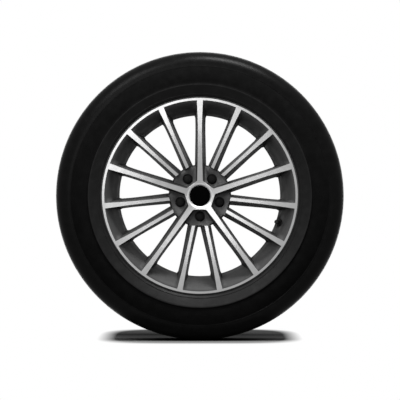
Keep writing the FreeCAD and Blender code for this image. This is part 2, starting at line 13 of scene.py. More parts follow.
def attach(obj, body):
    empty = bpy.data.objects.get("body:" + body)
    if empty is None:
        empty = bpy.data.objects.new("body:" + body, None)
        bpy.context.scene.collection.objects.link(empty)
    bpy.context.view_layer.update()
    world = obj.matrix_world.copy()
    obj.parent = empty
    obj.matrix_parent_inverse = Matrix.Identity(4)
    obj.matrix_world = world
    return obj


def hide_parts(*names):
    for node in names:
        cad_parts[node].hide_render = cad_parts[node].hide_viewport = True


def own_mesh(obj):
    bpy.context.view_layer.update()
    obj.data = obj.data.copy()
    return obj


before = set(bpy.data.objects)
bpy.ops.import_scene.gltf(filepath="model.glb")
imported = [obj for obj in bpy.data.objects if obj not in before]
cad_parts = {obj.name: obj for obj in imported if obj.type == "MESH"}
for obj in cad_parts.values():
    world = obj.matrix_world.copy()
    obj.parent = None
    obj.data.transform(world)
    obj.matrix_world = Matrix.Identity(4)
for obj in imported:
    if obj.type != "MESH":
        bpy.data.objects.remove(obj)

logging.basicConfig(level=logging.INFO, format="%(message)s")
LOG = logging.getLogger("van_tyre")

Colour = tuple[float, float, float]
Point = tuple[float, float]
Place = tuple[float, float, float]

AXLE = Vector((0.0, 1.0, 0.0))
CENTRE = Vector((0.0, 0.0, 0.0))
UNIT: Point = (0.0, 1.0)
WAVE: Point = (-1.0, 1.0)
PATCHES: Point = (0.35, 0.7)
SMEARS: Point = (0.3, 0.7)
SMEARS_PER_PATCH = 2.7
BLACK: Colour = (0.0, 0.0, 0.0)
WHITE = (1.0, 1.0, 1.0, 1.0)
QUARTER_RISE = 0.2929
MERGE = 0.00001
CAD_MERGE = 0.000005
SLACK = 0.0001


class Body(Enum):
    """The moving bodies that a piece can ride on."""

    WHEEL = "wheel"
    DUST_CAP = "dust_cap"


class Slot(Enum):
    """The record's finishes."""

    TYRE = "tyre_rubber"
    ALLOY = "wheel_alloy"
    PLASTIC = "black_plastic"
    BOLT = "bolt_steel"
    SPRING = "spring_steel"
    VALVE = "valve_rubber"
    BRASS = "brass"
    WEIGHT = "weight_metal"


class WheelFinish(Enum):
    """The casting's materials, by material index: copies of one paint and of one turned alloy that paint
    light and shade by facing and place.
    """

    PAINT = 0
    MACHINED = 1
    POCKET = 2
    BARREL = 3
    RING = 4


def grey(level: float) -> Colour:
    """A colour with no hue."""
    return (level, level, level)


class Graph:
    """One material's node tree, with short calls for the nodes that the finishes share."""

    def __init__(self, name: str) -> None:
        """Start a material that holds a Principled shader.

        Args:
            name: The material's name.
        """
        self.material: Material = bpy.data.materials.new(name)
        self.material.use_nodes = True
        self.tree: NodeTree = self.material.node_tree
        self.tree.nodes.clear()
        self.shader = self.add("ShaderNodeBsdfPrincipled")
        output = self.add("ShaderNodeOutputMaterial")
        self.tree.links.new(self.shader.outputs["BSDF"], output.inputs["Surface"])
        self.place = self.add("ShaderNodeTexCoord").outputs["Object"]

    def add(self, kind: str, **settings: object) -> Node:
        """Add a node.

        Args:
            kind: The node's type.
            settings: Properties to set on it.

        Returns:
            The new node.
        """
        node = self.tree.nodes.new(kind)
        for key, value in settings.items():
            setattr(node, key, value)
        return node

    def feed(self, node: Node, socket: str | int, value: object) -> None:
        """Link a socket to an input, or set the input to a constant.

        Args:
            node: The node that takes the value.
            socket: The input's name or number.
            value: A socket, a number or a colour.
        """
        if isinstance(value, NodeSocket):
            self.tree.links.new(value, node.inputs[socket])
        else:
            node.inputs[socket].default_value = value

    def shade(self, socket: str, value: object) -> None:
        """Feed one of the shader's inputs."""
        self.feed(self.shader, socket, value)

    def noise(self, scale: float, detail: float = 3.0) -> NodeSocket:
        """Add a noise pattern.

        Args:
            scale: Patches per metre.
            detail: Octaves of finer noise.

        Returns:
            The pattern, from 0 to 1.
        """
        node = self.add("ShaderNodeTexNoise")
        self.feed(node, "Vector", self.place)
        self.feed(node, "Scale", scale)
        self.feed(node, "Detail", detail)
        return node.outputs["Fac"]

    def maths(self, operation: str, first: object, second: object = 0.0) -> NodeSocket:
        """Work out one number from two.

        Args:
            operation: What is done with them.
            first: A number or a socket.
            second: A number or a socket.

        Returns:
            The result.
        """
        node = self.add("ShaderNodeMath", operation=operation)
        self.feed(node, 0, first)
        self.feed(node, 1, second)
        return node.outputs[0]

    def length(self, vector: NodeSocket, factors: object) -> NodeSocket:
        """Length of a vector, once each of its parts is multiplied.

        Args:
            vector: The vector.
            factors: A factor for each part, or a socket.

        Returns:
            The length.
        """
        product = self.add("ShaderNodeVectorMath", operation="MULTIPLY")
        self.feed(product, 0, vector)
        self.feed(product, 1, factors)
        length = self.add("ShaderNodeVectorMath", operation="LENGTH")
        self.feed(length, 0, product.outputs[0])
        return length.outputs["Value"]

    def radius(self) -> NodeSocket:
        """Distance from the axle, in metres."""
        return self.length(self.place, (1.0, 0.0, 1.0))

    def along(self) -> NodeSocket:
        """Place along the axle.

        Returns:
            The place, in metres.
        """
        split = self.add("ShaderNodeSeparateXYZ")
        self.feed(split, 0, self.place)
        return split.outputs["Y"]

    def span(self, value: NodeSocket, source: Point, target: Point) -> NodeSocket:
        """Stretch a range of values to another range, and hold it at both ends.

        Args:
            value: The values.
            source: Lowest and highest value read.
            target: What they become.

        Returns:
            The stretched values.
        """
        node = self.add("ShaderNodeMapRange")
        self.feed(node, "Value", value)
        for name, number in zip(("From Min", "From Max", "To Min", "To Max"), source + target):
            self.feed(node, name, number)
        return node.outputs["Result"]

    def blend(self, share: NodeSocket, first: object, second: object) -> NodeSocket:
        """Mix two colours.

        Args:
            share: 0 for the first, 1 for the second.
            first: A colour or a socket.
            second: A colour or a socket.

        Returns:
            The mixed colour.
        """
        node = self.add("ShaderNodeMix", data_type="RGBA")
        self.feed(node, 0, share)
        for socket, value in ((6, first), (7, second)):
            self.feed(node, socket, value if isinstance(value, NodeSocket) else (*value, 1.0))
        return node.outputs[2]

    def bump(self, height: NodeSocket, depth: float) -> None:
        """Add relief to what is there already.

        Args:
            height: The relief, from 0 to 1.
            depth: Its depth in metres.
        """
        node = self.add("ShaderNodeBump")
        self.feed(node, "Height", height)
        self.feed(node, "Distance", depth)
        links = self.shader.inputs["Normal"].links
        if links:
            self.feed(node, "Normal", links[0].from_socket)
        self.tree.links.new(node.outputs["Normal"], self.shader.inputs["Normal"])

    def grooves(self, across: NodeSocket, pitch: float, depth: float) -> None:
        """Add rounded grooves side by side, from the distance across them, in metres."""
        wave = self.maths("SINE", self.maths("MULTIPLY", across, math.tau / pitch))
        self.bump(self.span(wave, WAVE, UNIT), depth)


@dataclass(frozen=True)
class Finish:
    """A surface with patchy tone, patchy gloss and a fine grain.

    Attributes:
        name: The material's name.
        colour: Its usual colour.
        patch: The colour of its patches.
        patch_scale: Patches per metre.
        gloss: Lowest and highest roughness.
        grain_scale: Grains per metre.
        grain_depth: Depth of the grain in metres.
        grain_detail: Octaves of finer grain.
        metallic: 1 for bare metal.
        specular: Reflection level of what isn't metal.
    """

    name: str
    colour: Colour
    patch: Colour
    patch_scale: float = 40.0
    gloss: Point = (0.4, 0.6)
    grain_scale: float = 1800.0
    grain_depth: float = 0.00004
    grain_detail: float = 2.0
    metallic: float = 0.0
    specular: float = 0.5

    def material(self) -> Material:
        """Make the material.

        Returns:
            The material.
        """
        graph = Graph(self.name)
        graph.shade("Metallic", self.metallic)
        graph.shade("Specular IOR Level", self.specular)
        self.tint(graph)
        self.relief(graph)
        return graph.material

    def smears(self, graph: Graph, scale: float) -> NodeSocket:
        """Roughness in smears, so many to the metre."""
        return graph.span(graph.noise(scale, detail=5.0), SMEARS, self.gloss)

    def tint(self, graph: Graph) -> None:
        """Give the shader its colour and roughness.

        Args:
            graph: The material's nodes.
        """
        patches = graph.span(graph.noise(self.patch_scale), PATCHES, UNIT)
        graph.shade("Base Color", graph.blend(patches, self.colour, self.patch))
        graph.shade("Roughness", self.smears(graph, self.patch_scale * SMEARS_PER_PATCH))

    def relief(self, graph: Graph) -> None:
        """Give the shader its grain."""
        graph.bump(graph.noise(self.grain_scale, self.grain_detail), self.grain_depth)


@dataclass(frozen=True)
class TyreRubber(Finish):
    """Moulded tyre rubber: black walls with fine rings, a greyer running surface.

    Scales are marks per metre. The wall turns into running surface between the radii of tread_edge,
    and the rings are those that the mould leaves.
    """

    grain_scale: float = 2400.0
    grain_detail: float = 3.0
    tread_edge: Point = (0.3385, 0.3425)
    tread_colour: Colour = grey(0.021)
    tread_dullness: float = 0.12
    dust_scale: float = 60.0
    scuff_scale: float = 140.0
    smear_scale: float = 90.0
    ring_pitch: float = 0.0011
    ring_depth: float = 0.00003

    def tint(self, graph: Graph) -> None:
        """Black walls, dusty tread.

        Args:
            graph: The material's nodes.
        """
        dust = graph.span(graph.noise(self.dust_scale, detail=6.0), source=(0.4, 0.75), target=UNIT)
        wall = graph.blend(dust, self.colour, self.patch)
        tread = graph.span(graph.radius(), self.tread_edge, UNIT)
        marks = graph.span(graph.noise(self.scuff_scale, detail=5.0), SMEARS, target=(0.35, 1.0))
        scuffs = graph.maths("MULTIPLY", tread, marks)
        graph.shade("Base Color", graph.blend(scuffs, wall, self.tread_colour))
        dull = graph.maths("MULTIPLY", scuffs, self.tread_dullness)
        smears = self.smears(graph, self.smear_scale)
        graph.shade("Roughness", graph.maths("ADD", smears, dull))

    def relief(self, graph: Graph) -> None:
        """Fine rings round the axle under a pebbled mould skin."""
        graph.grooves(graph.radius(), self.ring_pitch, self.ring_depth)
        super().relief(graph)


@dataclass(frozen=True)
class MachinedAlloy(Finish):
    """Bright aluminium turned on a lathe, under a thin clear coat.

    The tool's marks are feed_pitch apart and feed_depth deep, and stray by up to wander.
    """

    grain_depth: float = 0.000002
    metallic: float = 1.0
    feed_pitch: float = 0.0006
    feed_depth: float = 0.000004
    wander: float = 0.0008
    wander_scale: float = 25.0
    coat: float = 0.25
    coat_roughness: float = 0.12

    def relief(self, graph: Graph) -> None:
        """Tool marks round the axle, broken a little by noise.

        Args:
            graph: The material's nodes.
        """
        stray = graph.maths("MULTIPLY", graph.noise(self.wander_scale), self.wander)
        graph.grooves(graph.maths("ADD", graph.radius(), stray), self.feed_pitch, self.feed_depth)
        super().relief(graph)
        graph.shade("Coat Weight", self.coat)
        graph.shade("Coat Roughness", self.coat_roughness)


@dataclass(frozen=True)
class CastPaint(Finish):
    """Dark metallic paint on a sand-rough casting, with brake dust in the depths.

    Scales are marks per metre. The dust thickens between the two places of dust_depth along the axle,
    and the peel is the lacquer's orange peel.
    """

    gloss: Point = (0.5, 0.62)
    grain_depth: float = 0.00002
    flake_scale: float = 2600.0
    dust_depth: Point = (-0.085, -0.045)
    dust_scale: float = 45.0
    dust_colour: Colour = grey(0.03)
    dust_dullness: float = 0.25
    smear_scale: float = 70.0
    peel_scale: float = 260.0
    peel_depth: float = 0.00006

    def tint(self, graph: Graph) -> None:
        """Flakes in the paint and dull dust towards the hub side.

        Args:
            graph: The material's nodes.
        """
        flakes = graph.add("ShaderNodeTexVoronoi")
        graph.feed(flakes, "Vector", graph.place)
        graph.feed(flakes, "Scale", self.flake_scale)
        glint = graph.span(flakes.outputs["Color"], source=(0.3, 0.9), target=UNIT)
        paint = graph.blend(glint, self.colour, self.patch)
        deep = graph.span(graph.along(), self.dust_depth, UNIT)
        marks = graph.span(graph.noise(self.dust_scale, detail=6.0), source=(0.35, 0.75), target=(0.0, 0.7))
        dust = graph.maths("MULTIPLY", deep, marks)
        graph.shade("Base Color", graph.blend(dust, paint, self.dust_colour))
        dull = graph.maths("MULTIPLY", dust, self.dust_dullness)
        smears = self.smears(graph, self.smear_scale)
        graph.shade("Roughness", graph.maths("ADD", smears, dull))

    def relief(self, graph: Graph) -> None:
        """Orange peel in the lacquer over the casting's grain."""
        graph.bump(graph.noise(self.peel_scale, self.grain_detail), self.peel_depth)
        super().relief(graph)


# The three tyre rubbers are one compound in copies that paint light and shade: the wall copy barely
# reflects, as painted shade, and the band copy is lighter and glossier, as a painted sheen.
TYRE_RUBBER = TyreRubber(
    "tyre_rubber", grey(0.002), grey(0.0035), gloss=(0.28, 0.36), grain_depth=0.000006, specular=0.045,
    ring_depth=0.000008)
WALL_RUBBER_PAINTED_SHADE = TyreRubber("tyre_wall_rubber_painted_shade", grey(0.0042), grey(0.0058), gloss=(0.6, 0.72), specular=0.004)
BAND_RUBBER_PAINTED_SHEEN = TyreRubber(
    "tyre_band_rubber_painted_sheen", grey(0.0065), grey(0.0105), gloss=(0.38, 0.46), grain_depth=0.00002, specular=0.07)
MACHINED = MachinedAlloy("machined_alloy", grey(0.32), grey(0.35), gloss=(0.28, 0.36))
# The ring copy is the same turned alloy as the face, made lighter as a painted highlight round the cap.
TURNED_RING_PAINTED_HIGHLIGHT = MachinedAlloy("turned_ring_painted_highlight", grey(0.53), grey(0.58), gloss=(0.5, 0.6))
# The three cast paints are one paint in copies that paint light and shade: the pocket copy is much lighter
# where the floors face the front, as painted light, the barrel copy reflects more, as a painted sheen, and
# the flank copy reflects little, as painted shade.
PAINT = CastPaint("dark_cast_paint", grey(0.03), grey(0.055), specular=0.04)
BARREL_PAINT_PAINTED_SHEEN = CastPaint("barrel_paint_painted_sheen", grey(0.032), grey(0.054), specular=0.16)
POCKET_PAINT_PAINTED_LIGHT = CastPaint("pocket_paint_painted_light", grey(0.15), grey(0.24), specular=0.12)
CAP_PLASTIC = Finish("cap_plastic", grey(0.0006), grey(0.001), gloss=(0.4, 0.5), specular=0.004)
VALVE_PLASTIC = Finish(
    "valve_cap_plastic", grey(0.008), grey(0.012), 300.0, gloss=(0.4, 0.55), specular=0.3)
# The bolts' near-black colour is painted shade of the deep recesses they sit in.
BOLT_PAINTED_SHADE = Finish("bolt_painted_shade", grey(0.005), grey(0.009), 160.0, gloss=(0.4, 0.55), specular=0.06)
SPRING_STEEL = Finish("spring_steel", grey(0.42), grey(0.34), 400.0, gloss=(0.25, 0.4), metallic=1.0)
VALVE_RUBBER = Finish("valve_rubber", grey(0.008), grey(0.012), 200.0, gloss=(0.55, 0.7), specular=0.25)
BRASS = Finish(
    "brass", (0.58, 0.42, 0.17), (0.45, 0.31, 0.11), 500.0, gloss=(0.25, 0.4), grain_depth=0.00001,
    metallic=1.0)
FOAM = Finish(
    "foam_tape", grey(0.3), grey(0.22), 900.0, gloss=(0.85, 0.95), grain_scale=1500.0,
    grain_depth=0.0001, specular=0.2)
WEIGHT_ZINC = Finish("weight_zinc", grey(0.24), grey(0.17), 150.0, gloss=(0.4, 0.55), metallic=0.9)


def settle(
    name: str,
    shape: BMesh,
    finishes: list[Finish],
    nodes: list[str],
    body: Body = Body.WHEEL,
    crease: float = 32.0,
) -> Object:
    """Turn a finished bmesh into a piece that stands for its CAD nodes.

    Args:
        name: The piece's name.
        shape: Its mesh, in place; it is freed.
        finishes: Its finishes, by material index.
        nodes: The CAD nodes that it stands for.
        body: What it rides on.
        crease: Angle in degrees past which an edge stays sharp.

    Returns:
        The piece.
    """
    mesh = bpy.data.meshes.new(name)
    shape.to_mesh(mesh)
    shape.free()
    for finish in finishes:
        mesh.materials.append(finish.material())
    mesh.shade_smooth()
    mesh.set_sharp_from_angle(angle=math.radians(crease))
    piece = bpy.data.objects.new(name, mesh)
    bpy.context.scene.collection.objects.link(piece)
    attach(piece, body.value)
    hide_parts(*nodes)
    LOG.info("%s: %d faces", name, len(mesh.polygons))
    return piece


def off_axle(point: Vector) -> float:
    """Distance of a point from the axle."""
    return math.hypot(point.x, point.z)


def pull_to(corner: BMVert, radius: float) -> None:
    """Move a corner straight towards the axle, to a radius."""
    shrink = radius / off_axle(corner.co)
    corner.co = (corner.co.x * shrink, corner.co.y, corner.co.z * shrink)


def tidy(shape: BMesh) -> None:
    """Join doubled corners and turn every face outwards."""
    bmesh.ops.remove_doubles(shape, verts=shape.verts, dist=MERGE)
    bmesh.ops.recalc_face_normals(shape, faces=shape.faces)


def cad_copy(node: str) -> BMesh:
    """Copy a CAD node's mesh and join the corners of its triangles.

    Args:
        node: The node's name.

    Returns:
        The copy.
    """
    shape = bmesh.new()
    shape.from_mesh(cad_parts[node].data)
    bmesh.ops.remove_doubles(shape, verts=shape.verts, dist=CAD_MERGE)
    return shape


def bulged(start: Point, end: Point, bulge: float, steps: int) -> list[Point]:
    """Points along the arc that bulges to the left of its chord.

    Args:
        start: First end, which isn't repeated.
        end: Last end.
        bulge: Height of the arc over its chord; negative to the right.
        steps: How many points.

    Returns:
        The points after start, up to end.
    """
    chord = Vector(end) - Vector(start)
    half = chord.length / 2
    radius = (half * half + bulge * bulge) / (2 * bulge)
    across = Vector((-chord.y, chord.x)).normalized()
    middle = (Vector(start) + Vector(end)) / 2 + across * (bulge - radius)
    sweep = 2 * math.asin(half / abs(radius))
    arm = Vector(start) - middle
    turn = -math.copysign(sweep, bulge) / steps
    return [tuple(middle + Matrix.Rotation(turn * step, 2) @ arm) for step in range(1, steps + 1)]


@dataclass(frozen=True)
class Thread:
    """A rolled thread: radii of its crests and roots, distance from crest to crest, and turns."""

    crest: float
    root: float
    pitch: float
    turns: int

    def outline(self, start: float) -> list[Point]:
        """Corners of its outline.

        Args:
            start: Where the first crest starts along the axle.

        Returns:
            The corners.
        """
        turn = ((self.crest, 0.0), (self.crest, 0.2), (self.root, 0.5), (self.root, 0.7))
        starts = [start + count * self.pitch for count in range(self.turns)]
        return [(radius, along + share * self.pitch) for along in starts for radius, share in turn]


def ring_profile(shape: BMesh, points: list[Point], closed: bool = True) -> list[BMVert | BMEdge]:
    """Lay an outline in the half plane of the axle and +X.

    Args:
        shape: The bmesh that takes it.
        points: Radius and place along the axle of each corner.
        closed: Whether the last corner joins the first.

    Returns:
        The outline's vertices and edges.
    """
    corners = [shape.verts.new((radius, along, 0.0)) for radius, along in points]
    pairs = list(zip(corners, corners[1:] + corners[:1]))
    edges = [shape.edges.new(pair) for pair in (pairs if closed else pairs[:-1])]
    return corners + edges


def turned(points: list[Point], steps: int, closed: bool = True, onto: BMesh | None = None) -> BMesh:
    """Spin an outline once round the axle.

    Args:
        points: Radius and place along the axle of each corner.
        steps: Facets round.
        closed: Whether the last corner joins the first.
        onto: The shape that takes it, or None for a new one.

    Returns:
        The turned shape.
    """
    shape = bmesh.new() if onto is None else onto
    outline = ring_profile(shape, points, closed)
    bmesh.ops.spin(
        shape, geom=outline, cent=CENTRE, axis=AXLE, angle=math.tau, steps=steps, use_merge=True)
    tidy(shape)
    return shape


def repeat(shape: BMesh, count: int, axis: Vector) -> None:
    """Copy a shape round the axle until it is there count times."""
    everything = shape.verts[:] + shape.edges[:] + shape.faces[:]
    bmesh.ops.spin(
        shape, geom=everything, cent=CENTRE, axis=axis, angle=math.tau * (count - 1) / count,
        steps=count - 1, use_duplicate=True)


@dataclass(frozen=True)
class TreadCut:
    """Slots or sipes that one cell of each tread pitch carries.

    A cut that reaches a rib's edge opens into the groove there.

    Attributes:
        cell: Which cell of the pitch.
        low: Nearest place to the tyre's middle; below 0 the cut crosses it.
        high: Furthest place from it.
        depth: Depth below the running surface at a blind end.
    """

    cell: int
    low: float
    high: float
    depth: float

    def takes(self, face: BMFace, side: int, floor: float) -> bool:
        """Whether a face beyond the floor's radius lies in this cut; side is -1 on the street half."""
        middle = face.calc_center_median()
        return self.low < middle.y * side < self.high and off_axle(middle) > floor


@dataclass
class Tyre:
    """The tyre, moulded in one piece: beads, plain sidewalls and a tread of ribs and blocks.

    A point of the section is a radius and a distance from the tyre's middle.
    """

    radius: float = 0.3449
    half_width: float = 0.113
    bead_base: tuple[Point, Point] = ((0.2168, 0.0689), (0.2182, 0.0846))
    heel_radius: float = 0.22255
    bead_gap: float = 0.00025
    flange_radius: float = 0.2358
    flange_roll: float = 0.0092
    roll_place: float = 0.0981
    rim_line: tuple[Point, ...] = (
        (0.239, 0.1008), (0.2415, 0.102), (0.2421, 0.1026), (0.243, 0.1027), (0.2436, 0.1023))
    band: tuple[Point, Point] = ((0.253, 0.1077), (0.2618, 0.1121))
    band_radius: float = 0.2648
    rib_radii: tuple[float, float, float, float] = (0.2635, 0.2655, 0.2665, 0.2695)
    rib_edge: float = 0.0006
    rib_step: float = 0.0026
    rib_bulge: float = 0.0005
    wall_radius: float = 0.307
    wall_place: float = 0.102
    wall_bulge: float = 0.0025
    shoulder_line: tuple[Point, ...] = ((0.3076, 0.1023), (0.3086, 0.1022), (0.3092, 0.1012))
    shoulder_bulge: float = 0.0053
    tread_half: float = 0.079
    tread_drop: float = 0.0042
    groove_places: tuple[float, float] = (0.05, 0.0175)
    groove_half: float = 0.0044
    groove_depth: float = 0.008
    groove_foot: float = 0.001
    groove_draft: float = 0.0009
    liner: tuple[Point, Point, Point] = ((0.24, 0.084), (0.302, 0.093), (0.3289, 0.062))
    liner_bulges: Point = (0.0118, 0.0054)
    slot_floor: float = 0.331
    wall_drop: float = 0.001
    pitches: int = 72
    cells: tuple[float, ...] = (0.2, 0.022, 0.2, 0.12, 0.2, 0.022, 0.236)
    skew: float = 2.4
    cuts: tuple[TreadCut, ...] = (
        TreadCut(3, 0.0537, 0.0772, 0.007),
        TreadCut(1, 0.0575, 0.075, 0.006),
        TreadCut(5, 0.0575, 0.075, 0.006),
        TreadCut(3, 0.034, 0.0462, 0.006),
        TreadCut(1, 0.0212, 0.0462, 0.006),
        TreadCut(5, 0.0212, 0.034, 0.006),
        TreadCut(3, 0.006, 0.0137, 0.005),
        TreadCut(1, -0.0137, 0.0137, 0.006),
    )

    def crown(self, along: float) -> float:
        """Radius of the running surface at a place along the axle."""
        return self.radius - self.tread_drop * (along / self.tread_half) ** 2

    def sidewall(self) -> list[Point]:
        """Half section of the outside, from the bead's toe to the edge of the tread.

        Returns:
            Its points.
        """
        heel = self.roll_place - self.flange_roll - self.bead_gap
        roll_end = (self.flange_radius + self.bead_gap, self.roll_place)
        roll_bulge = (self.flange_roll + self.bead_gap) * QUARTER_RISE
        points = [*self.bead_base, (self.heel_radius, heel), (self.flange_radius - self.flange_roll, heel)]
        points += bulged(points[-1], roll_end, -roll_bulge, steps=5)
        points += [*self.rim_line, *self.band]
        rise, crest, edge, foot = self.rib_radii
        rib = self.half_width
        points += [(rise, rib), (crest, rib), (edge, rib - self.rib_edge)]
        points += bulged(points[-1], (foot, rib - self.rib_step), -self.rib_bulge, steps=3)
        points += bulged(points[-1], (self.wall_radius, self.wall_place), self.wall_bulge, steps=8)
        points += self.shoulder_line
        tread_edge = (self.crown(self.tread_half), self.tread_half)
        return points + bulged(points[-1], tread_edge, self.shoulder_bulge, steps=12)

    def tread(self) -> list[Point]:
        """Half section of the tread, from its edge to the tyre's middle.

        Returns:
            Its points.
        """
        points: list[Point] = []
        start = self.tread_half
        for place in self.groove_places:
            outer, inner = place + self.groove_half, place - self.groove_half
            floor, draft = self.crown(place) - self.groove_depth, self.groove_draft
            points += self.across(start, outer)
            points += [(floor + self.groove_foot, outer - draft), (floor, outer - 2 * draft)]
            points += [(floor, inner + 2 * draft), (floor + self.groove_foot, inner + draft)]
            points.append((self.crown(inner), inner))
            start = inner
        return points + self.across(start, 0.0)

    def across(self, start: float, end: float) -> list[Point]:
        """Points across one rib of the running surface, at the ends of its cuts too.

        Args:
            start: The rib's outer edge, which isn't repeated.
            end: Its inner edge.

        Returns:
            The points.
        """
        stops = {end}
        for cut in self.cuts:
            stops.update(stop for stop in (cut.low, cut.high) if end < stop < start)
        return [(self.crown(stop), stop) for stop in sorted(stops, reverse=True)]

    def inside(self) -> list[Point]:
        """Half section of the liner, from the bead to under the tread.

        Returns:
            Its points.
        """
        bead, side, under = self.liner
        points = [bead, *bulged(bead, side, self.liner_bulges[0], steps=5)]
        return points + bulged(points[-1], under, self.liner_bulges[1], steps=4)

    def section(self) -> list[Point]:
        """The whole closed section.

        Returns:
            Its points.
        """
        outside, inside = self.sidewall() + self.tread(), self.inside()
        street = [(radius, -along) for radius, along in outside]
        lining = [(radius, -along) for radius, along in inside]
        return street[:-1] + outside[::-1] + inside + lining[::-1]

    def one_pitch(self) -> BMesh:
        """One pitch of the tyre, cell by cell, with its slots and sipes sunk into the tread.

        Returns:
            The pitch.
        """
        shape = bmesh.new()
        outline = ring_profile(shape, self.section())
        rows: list[list[BMFace]] = []
        for cell in self.cells:
            known = set(shape.faces)
            turn = math.tau / self.pitches * cell
            spun = bmesh.ops.spin(shape, geom=outline, cent=CENTRE, axis=AXLE, angle=turn, steps=1)
            outline = spun["geom_last"]
            rows.append([face for face in shape.faces if face not in known])
        for cut in self.cuts:
            for side in (1, -1) if cut.low > 0 else (1,):
                row = [face for face in rows[cut.cell] if face.is_valid]
                self.sink(shape, [face for face in row if cut.takes(face, side, self.slot_floor)], cut.depth)
        return shape

    def cut_end(self, corner: BMVert, depth: float) -> Point:
        """Place and radius where a cut's floor ends: at the groove it opens into, or at its depth."""
        along, radius = corner.co.y, off_axle(corner.co)
        return along, radius if self.crown(along) - radius > self.wall_drop else radius - depth

    def sink(self, shape: BMesh, faces: list[BMFace], depth: float) -> None:
        """Push a patch of the tread in towards the axle, down to a straight floor.

        Args:
            shape: The pitch's mesh.
            faces: The patch.
            depth: Depth at a blind end.
        """
        edges = {edge for face in faces for edge in face.edges}
        pushed = bmesh.ops.extrude_face_region(shape, geom=[*faces, *edges])
        corners = [part for part in pushed["geom"] if isinstance(part, BMVert)]
        low, low_radius = self.cut_end(min(corners, key=lambda corner: corner.co.y), depth)
        high, high_radius = self.cut_end(max(corners, key=lambda corner: corner.co.y), depth)
        for corner in corners:
            share = (corner.co.y - low) / (high - low)
            pull_to(corner, low_radius + (high_radius - low_radius) * share)

    def build(self) -> None:
        """Repeat the pitch all round, lean its cuts and dress it."""
        shape = self.one_pitch()
        repeat(shape, self.pitches, AXLE)
        tidy(shape)
        for corner in shape.verts:
            lean = math.sin(math.pi / 2 * max(-1.0, min(1.0, corner.co.y / self.tread_half)))
            corner.co.rotate(Matrix.Rotation(math.radians(self.skew) * lean, 3, AXLE))
        # Faces take a rubber copy by radius: painted shade on the sidewall, a painted sheen on the band.
        for face in shape.faces:
            radius = off_axle(face.calc_center_median())
            face.material_index = (radius < self.wall_radius) + (radius < self.band_radius)
        finishes = [TYRE_RUBBER, WALL_RUBBER_PAINTED_SHADE, BAND_RUBBER_PAINTED_SHEEN]
        settle("tyre_moulded", shape, finishes, ["tyre"])


@dataclass
class AlloyWheel:
    """The casting: dark paint all over, bright where the lathe has cut its street face."""

    face_depth: float = -0.0865
    face_slope: float = -0.9
    ring_radius: float = 0.0308
    ring_slope: float = -0.7
    pocket_depth: float = -0.067
    pocket_slack: float = 0.0005
    barrel_radius: float = 0.188
    barrel_slant: float = 0.5
    lip_radius: float = 0.2324
    arc: tuple[Point, Point, Point] = ((0.034, -0.0926), (0.13, -0.1045), (0.227, -0.1018))
    arc_slack: float = 0.0002
    crease: float = 24.0

    def finish_of(self, face: BMFace) -> WheelFinish:
        """Which material copy a face of the casting takes; the copies paint light and shade by place and
        facing.

        Args:
            face: A face of the casting.

        Returns:
            Its finish.
        """
        middle, normal = face.calc_center_median(), face.normal
        radius = off_axle(middle)
        if middle.y < self.face_depth and radius < self.ring_radius and normal.y < self.ring_slope:
            return WheelFinish.RING
        if middle.y < self.face_depth and normal.y < self.face_slope:
            return WheelFinish.MACHINED
        if abs(middle.y - self.pocket_depth) < self.pocket_slack and normal.y < self.face_slope:
            return WheelFinish.POCKET
        sideways = abs(normal.x * middle.z - normal.z * middle.x) / radius
        if radius > self.barrel_radius and sideways < self.barrel_slant:
            return WheelFinish.BARREL
        return WheelFinish.PAINT

    def arc_centre(self) -> Vector:
        """Centre of the arc that the lathe followed.

        Returns:
            Its radius and place along the axle.
        """
        first, second, third = (complex(*point) for point in self.arc)
        share = (third - first) / (second - first)
        centre = first + (second - first) * (share - abs(share) ** 2) / (2j * share.imag)
        return Vector((centre.real, centre.imag))

    def polish(self, wheel: Object) -> None:
        """Shade the turned arc as the smooth surface that it is.

        Args:
            wheel: The finished casting.
        """
        mesh = wheel.data
        centre = self.arc_centre()
        end = Vector(self.arc[2])
        low, high = self.arc[0][0] - self.arc_slack, self.lip_radius + self.arc_slack
        normals = [CENTRE] * len(mesh.loops)
        for polygon in mesh.polygons:
            corners = [mesh.vertices[index].co for index in polygon.vertices]
            radii = [off_axle(corner) for corner in corners]
            if polygon.material_index != WheelFinish.MACHINED.value or min(radii) < low or max(radii) > high:
                continue
            for loop, corner, radius in zip(polygon.loop_indices, corners, radii):
                on_arc = end if radius > end.x else Vector((radius, corner.y))
                lean = (on_arc - centre).normalized()
                normals[loop] = Vector((corner.x * lean.x / radius, lean.y, corner.z * lean.x / radius))
        mesh.normals_split_custom_set(normals)

    def build(self) -> None:
        """Copy the CAD casting, paint it and smooth its turned face."""
        shape = cad_copy("alloy_wheel")
        bmesh.ops.dissolve_degenerate(shape, edges=shape.edges, dist=CAD_MERGE)
        for face in shape.faces:
            face.material_index = self.finish_of(face).value
        finishes = [PAINT, MACHINED, POCKET_PAINT_PAINTED_LIGHT, BARREL_PAINT_PAINTED_SHEEN, TURNED_RING_PAINTED_HIGHLIGHT]
        wheel = settle(
            "alloy_wheel_casting", shape, finishes, ["alloy_wheel"], crease=self.crease)
        self.polish(wheel)


